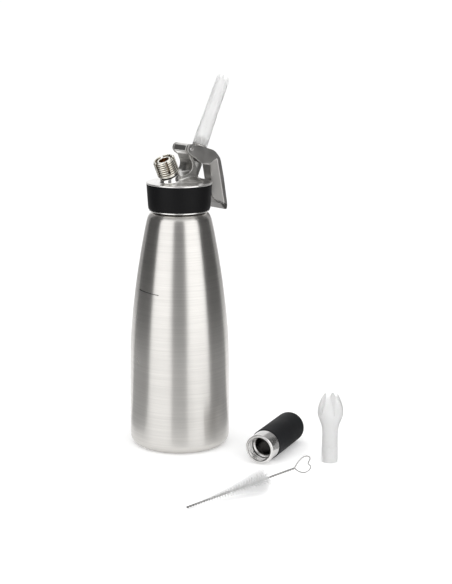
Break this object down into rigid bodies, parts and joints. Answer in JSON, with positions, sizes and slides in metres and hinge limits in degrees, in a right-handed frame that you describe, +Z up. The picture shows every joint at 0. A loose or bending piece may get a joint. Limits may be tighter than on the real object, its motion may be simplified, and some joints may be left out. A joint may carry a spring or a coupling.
{
  "type": "whipped cream dispenser",
  "caption": "Steel bottle with a screwed-on head, squeeze lever, nozzle valve and charger connector, with loose decorating tip, charger holder and cleaning brush.",
  "frame": {"origin": "centre of the bottle's flat foot, on the table", "axes": "+Z up along the bottle, +X towards the lever's handle and the nozzle, -Y towards the loose pieces"},
  "size_m": [0.2086, 0.2196, 0.3592],
  "materials": {
    "bottle_steel": "brushed round its axis",
    "head_steel": "satin with polished edges",
    "lever_metal": "satin",
    "nickel": "bright plated",
    "brass": "machined",
    "spring_steel": "drawn wire",
    "black_silicone": "satin",
    "grey_silicone": "matte",
    "black_grip": "matte",
    "milky_plastic": "translucent moulded",
    "nylon": "clear filament"
  },
  "bodies": {
    "bottle": {"bottle_shell": "bottle_steel"},
    "head_seal": {"head_gasket": "grey_silicone"},
    "head": {"head_cap": "head_steel", "collar_grip": "black_silicone", "pivot_pin": "spring_steel", "valve_spring": "spring_steel", "charger_connector": "nickel", "connector_washer": "black_silicone", "piercer": "brass", "charger_seal": "black_silicone", "check_valve_sleeve": "grey_silicone"},
    "lever": {"lever": "lever_metal"},
    "valve": {"nozzle_adaptor": "head_steel", "valve_stem": "spring_steel", "valve_seal": "black_silicone", "stem_ring_lower": "black_silicone", "stem_ring_upper": "black_silicone"},
    "straight_tip": {"straight_tip": "milky_plastic"},
    "tulip_tip": {"tulip_tip": "milky_plastic"},
    "charger_holder": {"charger_holder": "nickel", "holder_grip": "black_grip"},
    "cleaning_brush": {"brush_bristles": "nylon", "brush_wire": "spring_steel"}
  },
  "joints": [
    {"name": "head_lift", "type": "slide", "parent": "bottle", "child": "head_seal", "axis": [0, 0, 1], "range_m": [0, 0.1]},
    {"name": "head_turn", "type": "hinge", "parent": "head_seal", "child": "head", "pos_m": [0, 0, 0.2495], "axis": [0, 0, 1], "range_deg": [0, 450]},
    {"name": "lever_squeeze", "type": "hinge", "parent": "head", "child": "lever", "pos_m": [0.0058, 0, 0.2904], "axis": [0, 1, 0], "range_deg": [0, 6], "stiffness_Nm_per_rad": 3, "springref_deg": -5.73},
    {"name": "valve_press", "type": "slide", "parent": "head", "child": "valve", "axis": [-0.4431, 0, -0.8965], "range_m": [0, 0.00187], "deforming": ["valve_spring"]},
    {"name": "tip_pull", "type": "slide", "parent": "valve", "child": "straight_tip", "axis": [0.4431, 0, 0.8965], "range_m": [0, 0.03]},
    {"name": "holder_lift", "type": "slide", "parent": "bottle", "child": "charger_holder", "axis": [0, 0, 1], "range_m": [0, 0.05]},
    {"name": "tulip_lift", "type": "slide", "parent": "bottle", "child": "tulip_tip", "axis": [0, 0, 1], "range_m": [0, 0.05]},
    {"name": "brush_lift", "type": "slide", "parent": "bottle", "child": "cleaning_brush", "axis": [0, 0, 1], "range_m": [0, 0.05]}
  ],
  "couplings": [
    {"joint": "valve_press", "follows": "lever_squeeze", "m_per_rad": 0.0178}
  ]
}
